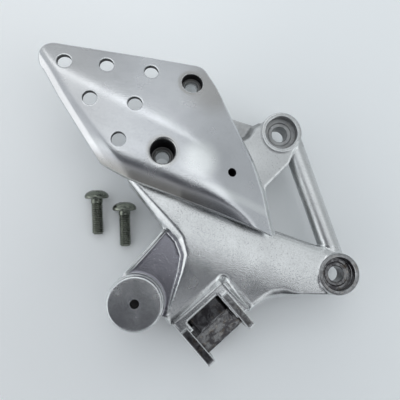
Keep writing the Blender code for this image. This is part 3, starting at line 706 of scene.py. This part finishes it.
def threaded_screw(name, place, swing):
    """Dome-headed socket screw with a helical thread, lying on its rim and tip."""
    around = 64
    rings = []
    dome_steps = 14
    dome = SCREW_HEAD_H - SCREW_RIM_H
    for k in range(1, dome_steps + 1):
        angle = math.pi / 2 * k / dome_steps
        rings.append((SCREW_HEAD_R * math.sin(angle), SCREW_RIM_H + dome * math.cos(angle), 0.0))
    rings += [(7.95, 0.8, 0), (7.7, 0.4, 0), (7.3, 0.1, 0), (6.9, 0.0, 0), (SCREW_R + 0.5, 0.0, 0)]
    rings += [(SCREW_R + 0.1, -0.15, 0), (SCREW_R - 0.1, -0.5, 0), (SCREW_R - 0.1, -NECK + 0.6, 0)]
    step = PITCH / 10
    height = -NECK
    while height > -SCREW_LENGTH + 0.2:
        fade = min(1.0, (-NECK - height) / 0.8)
        rings.append((SCREW_R - max(0.0, -height - SCREW_LENGTH + TIP_CHAMFER), height, fade))
        height -= step
    rings.append((SCREW_R - TIP_CHAMFER - 0.1, -SCREW_LENGTH, 0.0))
    vertices = [(0, 0, SCREW_HEAD_H)]
    for radius, height, depth in rings:
        for k in range(around):
            phase = (height / PITCH - k / around) % 1.0
            groove = min(1.0, max(0.0, 1.35 * (1 - abs(2 * phase - 1)) - 0.15))
            r = radius - THREAD_DEPTH * depth * groove
            angle = math.tau * k / around
            vertices.append((r * math.cos(angle), r * math.sin(angle), height))
    vertices.append((0, 0, -SCREW_LENGTH))
    screw = closed_mesh(name + "_turned", vertices, ring_faces(around, len(rings)))
    half = SOCKET_HALF / math.cos(math.pi / 6)
    hexagon = [(half * math.cos(k * math.pi / 3), half * math.sin(k * math.pi / 3)) for k in range(6)]
    low, mid, high = SCREW_HEAD_H - SOCKET_DEPTH, SCREW_HEAD_H - 0.7, SCREW_HEAD_H + 3
    cutter_points = [(x * s, y * s, z) for s, z in ((1, low), (1, mid), (2.3, high)) for x, y in hexagon]
    cutter_points += [(0, 0, low - 1.0), (0, 0, high)]
    cutter_faces = []
    for k in range(6):
        j = (k + 1) % 6
        cutter_faces += [(k, j, j + 6, k + 6), (k + 6, j + 6, j + 12, k + 12)]
        cutter_faces += [(18, j, k), (19, k + 12, j + 12)]
    cutter = closed_mesh(name + "_socket", cutter_points, cutter_faces)
    combine(screw, cutter, "DIFFERENCE")
    tilt = math.atan2(SCREW_HEAD_R - SCREW_R, SCREW_LENGTH - TIP_CHAMFER + SCREW_RIM_H)
    lift = SCREW_HEAD_R * math.cos(tilt) - SCREW_RIM_H * math.sin(tilt)
    turn = Matrix.Rotation(math.radians(swing), 4, "Z") @ Matrix.Rotation(-math.pi / 2 + tilt, 4, "X")
    screw.data.transform(Matrix.Translation(-ORIGIN))
    screw.data.transform(Matrix.Translation(ORIGIN + Vector((*place, lift)) * MM) @ turn)
    return screw


# ---- materials ----

# Centres of a painted highlight and of brown painted shade on the guard's face.
HIGHLIGHT_PLACE, SHADE_PLACE = (25.6, 56.8), (34, 104)  # on the guard's face


class Nodes:
    """Short way to build the nodes of a new material or world."""

    def __init__(self, name, kind="materials", shader="Principled BSDF", place="Object"):
        self.owner = getattr(bpy.data, kind).new(name)
        self.owner.use_nodes = True
        self.tree = self.owner.node_tree
        self.shader = self.tree.nodes[shader]
        self.place = self.add("ShaderNodeTexCoord").outputs[place]

    def add(self, kind, **values):
        node = self.tree.nodes.new(kind)
        for key, value in values.items():
            setattr(node, key, value)
        return node

    def link(self, source, target):
        self.tree.links.new(source, target)

    def noise(self, scale, detail=4.0, rough=0.55, stretch=None, distortion=0.0):
        node = self.add("ShaderNodeTexNoise")
        node.inputs["Scale"].default_value = scale
        node.inputs["Detail"].default_value = detail
        node.inputs["Roughness"].default_value = rough
        node.inputs["Distortion"].default_value = distortion
        place = self.place
        if stretch:
            mapping = self.add("ShaderNodeMapping")
            mapping.inputs["Rotation"].default_value = stretch[0]
            mapping.inputs["Scale"].default_value = stretch[1]
            self.link(place, mapping.inputs["Vector"])
            place = mapping.outputs["Vector"]
        self.link(place, node.inputs["Vector"])
        return node.outputs["Fac"]

    def dots(self, scale, size):
        """Scattered round specks, about one to a cell."""
        node = self.add("ShaderNodeTexVoronoi")
        node.inputs["Scale"].default_value = scale
        self.link(self.place, node.inputs["Vector"])
        return self.spread(node.outputs["Distance"], size, 0.6 * size)

    def spread(self, value, low, high, to_low=0.0, to_high=1.0, curve="LINEAR"):
        node = self.add("ShaderNodeMapRange", interpolation_type=curve)
        for key, number in zip(("From Min", "From Max", "To Min", "To Max"), (low, high, to_low, to_high)):
            node.inputs[key].default_value = number
        self.link(value, node.inputs["Value"])
        return node.outputs["Result"]

    def maths(self, operation, a, b):
        node = self.add("ShaderNodeMath", operation=operation)
        for socket, value in zip(node.inputs, (a, b)):
            if isinstance(value, (int, float)):
                socket.default_value = value
            else:
                self.link(value, socket)
        return node.outputs[0]

    def mix(self, share, a, b):
        node = self.add("ShaderNodeMix", data_type="RGBA")
        if isinstance(share, float):
            node.inputs[0].default_value = share
        else:
            self.link(share, node.inputs[0])
        for socket, value in ((node.inputs[6], a), (node.inputs[7], b)):
            if isinstance(value, tuple):
                socket.default_value = (*value, 1.0)
            else:
                self.link(value, socket)
        return node.outputs[2]

    def attribute(self, name):
        return self.add("ShaderNodeAttribute", attribute_name=name).outputs["Fac"]

    def bump(self, height, distance, strength, normal=None):
        node = self.add("ShaderNodeBump")
        node.inputs["Distance"].default_value = distance
        node.inputs["Strength"].default_value = strength
        self.link(height, node.inputs["Height"])
        if normal:
            self.link(normal, node.inputs["Normal"])
        return node.outputs["Normal"]


def cast_aluminium():
    """Sand-cast metal with fine pits and bright flecks, painted shade in its recesses, painted highlights on
    edges and strips, and a painted dark reflection on level faces.
    """
    n = Nodes("cast_aluminium_painted_light")
    cloud = n.noise(28, 3)
    grain = n.noise(1100, 3, 0.7)
    region = n.spread(n.noise(70, 3), 0.36, 0.56)
    pits = n.maths("MULTIPLY", n.dots(640, 0.20), region)
    flecks = n.maths("MULTIPLY", n.dots(760, 0.18), n.spread(n.noise(55, 3), 0.40, 0.60))
    painted_dark_reflection = n.attribute("painted_dark_reflection")
    dark_painted_shade = n.attribute("dark_painted_shade")
    painted_highlight = n.attribute("painted_highlight")
    edge = n.spread(n.add("ShaderNodeNewGeometry").outputs["Pointiness"], 0.51, 0.56)
    colour = n.mix(n.spread(cloud, 0.35, 0.65), (0.63, 0.64, 0.645), (0.72, 0.73, 0.735))
    coarse = n.attribute("coarse")
    colour = n.mix(n.maths("MULTIPLY", coarse, 0.5), colour, (0.46, 0.47, 0.475))
    colour = n.mix(n.spread(grain, 0.36, 0.50, 0.30, 0.0), colour, (0.36, 0.365, 0.37))
    # painted dark reflection, purple-grey, on the level web and disc
    colour = n.mix(painted_dark_reflection, colour, (0.25, 0.246, 0.278))
    colour = n.mix(n.maths("MULTIPLY", pits, 0.7), colour, (0.20, 0.20, 0.21))
    colour = n.mix(n.maths("MULTIPLY", flecks, 0.5), colour, (0.86, 0.88, 0.89))
    # painted highlight along sharp edges
    colour = n.mix(n.maths("MULTIPLY", edge, 0.6), colour, (0.82, 0.85, 0.86))
    highlight_patch = n.spread(n.noise(420, 4, 0.7), 0.36, 0.52, 0.35, 1.0)
    # painted highlight on the clevis flank, arm lip and flange crease, broken up by noise
    colour = n.mix(n.maths("MULTIPLY", painted_highlight, highlight_patch), colour, (0.96, 0.98, 0.98))
    shade_patches = n.spread(n.noise(180, 5, 0.7, distortion=0.6), 0.42, 0.62)
    shade_colour = n.mix(n.spread(n.noise(240, 4), 0.56, 0.64), (0.065, 0.062, 0.066), (0.11, 0.095, 0.082))
    # painted shade with a brownish tint in recesses and bores, on the ears' tops and on the boss rims
    colour = n.mix(n.maths("MULTIPLY", dark_painted_shade, n.spread(shade_patches, 0, 1, 0.7, 1.0)), colour, shade_colour)
    n.link(colour, n.shader.inputs["Base Color"])
    rough = n.maths("ADD", n.spread(n.noise(90, 4), 0.3, 0.7, 0.19, 0.28), n.maths("MULTIPLY", coarse, 0.24))
    n.link(rough, n.shader.inputs["Roughness"])
    bump = n.bump(grain, 0.00010, 0.55)
    n.link(bump, n.shader.inputs["Normal"])
    n.link(n.spread(dark_painted_shade, 1.15, 1.8, 1.0, 0.0), n.shader.inputs["Metallic"])
    return n.owner


def satin_aluminium():
    """Brushed metal with small dark specks, brown painted shade, painted dark shade in its bores and painted
    highlights on edges and bevel.
    """
    n = Nodes("satin_aluminium_painted_light")
    cloud = n.noise(22, 3)
    brushed = n.noise(900, 3, 0.7, ((0, 0, math.radians(28)), (0.06, 1.0, 1.0)))
    grain = n.noise(1200, 3, 0.7)
    edge = n.spread(n.add("ShaderNodeNewGeometry").outputs["Pointiness"], 0.51, 0.57)
    colour = n.mix(n.spread(cloud, 0.35, 0.65), (0.57, 0.58, 0.605), (0.66, 0.67, 0.695))
    colour = n.mix(n.spread(grain, 0.36, 0.50, 0.18, 0.0), colour, (0.40, 0.40, 0.415))
    specks = n.maths("MULTIPLY", n.dots(300, 0.09), n.spread(n.noise(80, 3), 0.45, 0.62))
    colour = n.mix(n.maths("MULTIPLY", specks, 0.5), colour, (0.25, 0.24, 0.23))
    # brown painted shade on the guard's corner, left slope, seam and round its bores
    colour = n.mix(n.attribute("brown_painted_shade"), colour, (0.36, 0.34, 0.31))
    # painted highlight along sharp edges
    colour = n.mix(n.maths("MULTIPLY", edge, 0.6), colour, (0.84, 0.87, 0.88))
    # painted highlight on the guard's right bevel, a patch on its face and a crest above its seam
    colour = n.mix(n.attribute("painted_highlight"), colour, (0.96, 0.98, 0.98))
    black = n.attribute("dark_painted_shade")
    # painted dark shade down the guard's bores, tapped hole and window walls
    colour = n.mix(black, colour, (0.02, 0.02, 0.022))
    n.link(colour, n.shader.inputs["Base Color"])
    rough = n.maths("ADD", n.spread(n.noise(70, 4), 0.3, 0.7, 0.20, 0.29), n.maths("MULTIPLY", black, 0.65))
    n.link(rough, n.shader.inputs["Roughness"])
    bump = n.bump(brushed, 0.0001, 0.25)
    bump = n.bump(grain, 0.0001, 0.25, bump)
    n.link(bump, n.shader.inputs["Normal"])
    n.link(n.spread(black, 0.0, 1.0, 1.0, 0.1), n.shader.inputs["Metallic"])
    return n.owner


def zinc_steel(name, dark, light):
    """Plated steel, cloudy between two shades."""
    n = Nodes(name)
    cloud = n.noise(160, 4, 0.6)
    colour = n.mix(n.spread(cloud, 0.35, 0.65), dark, light)
    edge = n.spread(n.add("ShaderNodeNewGeometry").outputs["Pointiness"], 0.52, 0.60)
    # painted highlight along sharp edges
    colour = n.mix(n.maths("MULTIPLY", edge, 0.6), colour, (0.62, 0.63, 0.58))
    n.link(colour, n.shader.inputs["Base Color"])
    n.link(n.spread(n.noise(300, 3), 0.3, 0.7, 0.20, 0.34), n.shader.inputs["Roughness"])
    n.link(n.bump(n.noise(900, 3), 0.0001, 0.3), n.shader.inputs["Normal"])
    n.shader.inputs["Metallic"].default_value = 1.0
    return n.owner


def paint_attribute(obj, name, rule):
    """Stores how far each vertex belongs to a region.

    The rule reads one row for each vertex: its place on the drawing plane and its normal's upward share.
    """
    mesh = obj.data
    points = np.empty(len(mesh.vertices) * 3, np.float32)
    normals = np.empty(len(mesh.vertices) * 3, np.float32)
    mesh.vertices.foreach_get("co", points)
    mesh.vertices.foreach_get("normal", normals)
    points = (points.reshape(-1, 3) - np.array(ORIGIN)) / MM
    values = rule(np.column_stack([points, normals.reshape(-1, 3)[:, 2]]).astype(float))
    layer = mesh.attributes.new(name, "FLOAT", "POINT")
    layer.data.foreach_set("value", values.astype(np.float32))


def dark_reflection_rule(p):
    """The recessed web and the pivot disc, whose level faces get a painted dark reflection of the space
    overhead.
    """
    web = smooth_step(to_line(p[:, :2], BAND_FOOT), -0.5, 0.6) * smooth_step(p[:, 3], 0.75, 0.95)
    web *= smooth_step(-np.abs(p[:, 2] - WEB_Z), -1.6, -0.9)
    disc = (away_from(p, PIVOT) < DISC_R - 0.6) & (p[:, 2] > 44)
    return np.maximum(web, 0.2 * disc)


def dark_shade_rule(p):
    """Painted shade with a brownish tint: the clevis pocket, the ears' tops, down the frame bores and on
    their rims, and the arm's groove.

    Past 1 it also takes the metal's shine, as in the painted dark eye of the pivot.
    """
    x, y, z = p[:, :3].T
    across = (x - CLEVIS[0]) * AXIS_P[0] + (y - CLEVIS[1]) * AXIS_P[1]
    along = (x - CLEVIS[0]) * AXIS_E[0] + (y - CLEVIS[1]) * AXIS_E[1]
    pocket = (across > LEFT_EAR[1] - 0.2) & (across < RIGHT_EAR[0] + 0.2) & (along > 2) & (z < 33)
    ledge = (along > -5) & (along < EAR_START) & (across < 6) & (across > LEFT_EAR[0] - 2)
    groove = (z > SPINE_Z[1] - 2) & (z < ARM_TOP_Z - 1.5) & (x > 40) & (x < 68) & (y > 70)
    eye = (away_from(p, PIVOT) < SHAFT_R + 0.1) & (z < 45.95) & (z > 0.4)
    shades = [1.1 * pocket, 0.22 * ledge, 0.4 * groove, 2.0 * eye]
    for left, right in (LEFT_EAR, RIGHT_EAR):
        ends = [along - EAR_START + 0.5, EAR_END - 1.5 - along]
        margin = np.min([across - left, right - across, *ends], axis=0)
        shades.append(smooth_step(margin, 0.3, 0.8) * (z > EAR_TOP - 2.0))
    for place, ring, floor in ((UPPER_BOSS, 0.3, 0.55), (LOWER_BOSS, 0.85, 1.1)):
        away = away_from(p, place)
        shades.append(floor * ((away < COUNTERBORE_R + 0.05) & (z < BOSS_TOP_Z - 0.5)))
        shades.append(ring * ((away < BOSS_R) & (z > BOSS_TOP_Z - 0.5)))
    return np.max(shades, axis=0)


def coarse_rule(p):
    """The strut and the frame arm, left rougher than the rest of the casting."""
    high = smooth_step(p[:, 0] + 0.3 * p[:, 1], 72, 80) * (p[:, 1] > 8)
    strut = smooth_step(p[:, 0], 86, 89) * (p[:, 1] < 73)
    return high * (p[:, 2] < BOSS_TOP_Z - 0.6) * (1 - 0.6 * strut)


def painted_highlight_rule(p):
    """Painted highlights: the clevis's flank, the frame arm's lip and the crease of its flange."""
    away = np.abs(to_line(p[:, :2], CHEVRON_FOOT[1:]))
    flank = smooth_step(away, 1.2, 1.8) * smooth_step(-away, -5.2, -4.4) * (p[:, 2] > LEDGE_Z + 0.6)
    lip = smooth_step(-np.abs(to_line(p[:, :2], ARM_EDGE)), -1.9, -1.1) * (p[:, 2] > ARM_TOP_Z - 1.6)
    flange = np.abs(to_line(p[:, :2], FLANGE_LINE))
    crease = smooth_step(-np.abs(flange - FLANGE_WIDTH), -0.9, -0.3) * (p[:, 2] > 30)
    return np.max([flank, 0.8 * lip, 0.6 * crease], axis=0)


def bore_rule(p):
    """Painted dark shade inside the guard's deep bores, tapped hole and windows."""
    depth = guard_form(p[:, :2]) - p[:, 2]
    darks = [1.0 * (away_from(p, REAR_SCREWS[0]) < TAP_R + 0.02)]
    for place, (bore_r, _) in zip(GUARD_HOLES, GUARD_BORES):
        away = away_from(p, place)
        darks.append((away < bore_r + 0.05) & (away > bore_r - 0.3) & (depth > 0.9))
        darks.append(0.3 * ((away < bore_r - 0.3) & (depth > 2.2)))
    for place in WINDOW_HOLES:
        darks.append(0.85 * (np.abs(away_from(p, place) - WINDOW_HOLE_R) < 0.05))
    return np.max(darks, axis=0)


def bevel_highlight_rule(p):
    """Painted highlights: the guard's right-hand bevel, a bright patch on its face and a crest along its
    lower roll.
    """
    flat = p[:, :2]
    inside = bevel_width(flat) - np.abs(to_line(flat, GUARD_RIGHT))
    bevel = smooth_step(inside, -0.4, 0.4) * smooth_step(-p[:, 1], -80, -45)
    highlight_patch = smooth_step(-away_from(p, HIGHLIGHT_PLACE), -15, -4)
    seam = to_line(flat, SEAM)
    crest = smooth_step(seam, 8.0, 11.0) * smooth_step(-seam, -16.0, -12.0) * smooth_step(p[:, 0], -45, -25)
    return np.max([bevel, 0.7 * highlight_patch, 0.4 * crest], axis=0)


def brown_shade_rule(p):
    """Brown painted shade on the guard's upper right corner and left slope, along its seam and round its
    bores.
    """
    corner = smooth_step(-away_from(p, SHADE_PLACE), -24, -6)
    slope = smooth_step(-p[:, 0], 5, 50)
    seam = smooth_step(-to_line(p[:, :2], SEAM), -11, -1) * smooth_step(-p[:, 0], -45, -15)
    shade_patches = [0.5 * corner, 0.25 * slope, 0.8 * seam]
    for place, (bore_r, _) in zip(GUARD_HOLES, GUARD_BORES):
        shade_patches.append(0.55 * smooth_step(bore_r - away_from(p, place), -3.4, -0.8))
    return np.max(shade_patches, axis=0)


# ---- stage ----

CAMERA_HEIGHT = 347.0
CAMERA_TILT = (6.617, -5.109)  # degrees about X, then about Y
CAMERA_LENS = 45.0
ROOM_COLOUR = (1.10, 1.14, 1.165)
# Parts of the room: direction, angles where the shade is full and where it ends, colour.
ROOM_SHADES = (
    ((-1.0, 0.1, 0.4), 24, 56, (0.66, 0.70, 0.74)),  # left side
    ((1.0, 0.8, 0.5), 32, 62, (0.56, 0.59, 0.605)),  # right side
    ((0, 1.0, 0.6), 14, 52, (0.61, 0.64, 0.655)),  # far wall
    ((0.0, -1.0, 0.5), 15, 44, (0.16, 0.168, 0.18)),  # near side
    ((0.1, -1.0, 0.0), 14, 44, (0.06, 0.063, 0.07)),  # near side, low down
    ((-1.0, -0.2, 0.2), 16, 36, (1.6, 1.64, 1.66)),  # bright left wall
)
CARD_HEIGHT = 380.0
CARD_CORNERS = (
    (-140, 4), (-70, 12), (-4, 10), (12, -6), (34, -22), (66, -40), (120, -64), (185, -84),
    (290, -88), (320, -240), (-280, -240), (-240, -30),
)
# The card's glow over the hanger and at its near edge, and where it turns from one to the other.
CARD_DARK, CARD_LIGHT = (0.055, 0.057, 0.068), (0.40, 0.41, 0.435)
CARD_FADE = (-128.0, -210.0)
# The table's colour turns greyer to the right: painted shade.
TABLE_LEFT, TABLE_RIGHT = (0.97, 0.985, 0.995), (0.91, 0.935, 0.95)
TABLE_SIZE, TABLE_DROP = 2.5, 0.0004  # metres
SOFTBOX_PLACE, SOFTBOX_AIM, SOFTBOX_SIZE = (-0.10, 0.86, 1.17), (0, 0.02, 0), (0.95, 0.36)  # metres
SOFTBOX_POWER = 1.15


def stage():
    """The white table, with painted shade making it a little greyer to the right."""
    bm = bmesh.new()
    bmesh.ops.create_grid(bm, x_segments=1, y_segments=1, size=TABLE_SIZE)
    mesh = bpy.data.meshes.new("table")
    bm.to_mesh(mesh)
    bm.free()
    table = bpy.data.objects.new("table", mesh)
    bpy.context.scene.collection.objects.link(table)
    table.location.z = -TABLE_DROP
    n = Nodes("table_white")
    split = n.add("ShaderNodeSeparateXYZ")
    n.link(n.place, split.inputs[0])
    share = n.spread(split.outputs["X"], -0.16, 0.08)
    n.link(n.mix(share, TABLE_LEFT, TABLE_RIGHT), n.shader.inputs["Base Color"])
    n.shader.inputs["Roughness"].default_value = 0.35
    table.data.materials.append(n.owner)


def dark_card():
    """Dark card over the table, seen in the metal's reflections only."""
    mesh = bpy.data.meshes.new("dark_card")
    points = [ORIGIN + Vector((x, y, CARD_HEIGHT)) * MM for x, y in CARD_CORNERS]
    mesh.from_pydata(points, [], [tuple(range(len(points)))])
    card = bpy.data.objects.new("dark_card", mesh)
    bpy.context.scene.collection.objects.link(card)
    n = Nodes("dark_card")
    n.shader.inputs["Base Color"].default_value = (0, 0, 0, 1)
    split = n.add("ShaderNodeSeparateXYZ")
    n.link(n.place, split.inputs[0])
    start, end = (ORIGIN.y + y * MM for y in CARD_FADE)
    share = n.spread(split.outputs["Y"], start, end)
    n.link(n.mix(share, CARD_DARK, CARD_LIGHT), n.shader.inputs["Emission Color"])
    n.shader.inputs["Emission Strength"].default_value = 1.0
    mesh.materials.append(n.owner)
    card.visible_camera = False


def lighting():
    """A pale room, darker on the side the pedals face, with one large soft light on the upper left."""
    n = Nodes("studio", "worlds", "Background", "Generated")
    bpy.context.scene.world = n.owner
    colour = ROOM_COLOUR
    for towards, inner, outer, shade in ROOM_SHADES:
        dot = n.add("ShaderNodeVectorMath", operation="DOT_PRODUCT")
        dot.inputs[1].default_value = Vector(towards).normalized()
        n.link(n.place, dot.inputs[0])
        full, end = (math.cos(math.radians(angle)) for angle in (inner, outer))
        colour = n.mix(n.spread(dot.outputs["Value"], end, full, curve="SMOOTHSTEP"), colour, shade)
    n.link(colour, n.shader.inputs["Color"])
    data = bpy.data.lights.new("softbox", "AREA")
    data.shape = "RECTANGLE"
    data.size, data.size_y = SOFTBOX_SIZE
    data.energy = SOFTBOX_POWER
    data.color = (0.97, 0.99, 1.0)
    lamp = bpy.data.objects.new("softbox", data)
    lamp.location = SOFTBOX_PLACE
    aim = Vector(SOFTBOX_AIM) - Vector(SOFTBOX_PLACE)
    lamp.rotation_euler = aim.to_track_quat("-Z", "Y").to_euler()
    bpy.context.scene.collection.objects.link(lamp)


def camera():
    data = bpy.data.cameras.new("camera")
    data.lens = CAMERA_LENS
    data.sensor_width = 36.0
    data.clip_start = 0.01
    view = bpy.data.objects.new("camera", data)
    tilt_x, tilt_y = (math.radians(angle) for angle in CAMERA_TILT)
    turn = Matrix.Rotation(tilt_y, 4, "Y") @ Matrix.Rotation(tilt_x, 4, "X")
    view.matrix_world = Matrix.Translation(ORIGIN + Vector((0, 0, CAMERA_HEIGHT * MM))) @ turn
    bpy.context.scene.collection.objects.link(view)
    bpy.context.scene.camera = view


# ---- assembly ----


def finish_piece(obj, material, body, node, angle):
    """Gives a piece its material and its place in the frame; edges past the angle stay sharp."""
    obj.data.materials.clear()
    obj.data.materials.append(material)
    obj.data.shade_smooth()
    obj.data.set_sharp_from_angle(angle=math.radians(angle))
    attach(obj, body)
    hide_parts(node)


casting = hanger()
paint_attribute(casting, "painted_dark_reflection", dark_reflection_rule)
paint_attribute(casting, "dark_painted_shade", dark_shade_rule)
paint_attribute(casting, "painted_highlight", painted_highlight_rule)
paint_attribute(casting, "coarse", coarse_rule)
finish_piece(casting, cast_aluminium(), "hanger", "hanger_bracket", 35)

shell = guard()
paint_attribute(shell, "dark_painted_shade", bore_rule)
paint_attribute(shell, "brown_painted_shade", brown_shade_rule)
paint_attribute(shell, "painted_highlight", bevel_highlight_rule)
finish_piece(shell, satin_aluminium(), "hanger", "heel_guard", 40)

olive = zinc_steel("zinc_olive", (0.12, 0.132, 0.112), (0.21, 0.228, 0.19))
for node, (place, swing) in SCREW_PLACES.items():
    finish_piece(threaded_screw(node, place, swing), olive, node, node, 60)
bright = zinc_steel("zinc_bright", (0.34, 0.35, 0.34), (0.48, 0.49, 0.48))
for number in (1, 2):
    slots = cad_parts[f"guard_screw_{number}"].data.materials
    slots.clear()
    slots.append(bright)

stage()
dark_card()
lighting()
camera()
bpy.context.scene.view_settings.view_transform = "Standard"
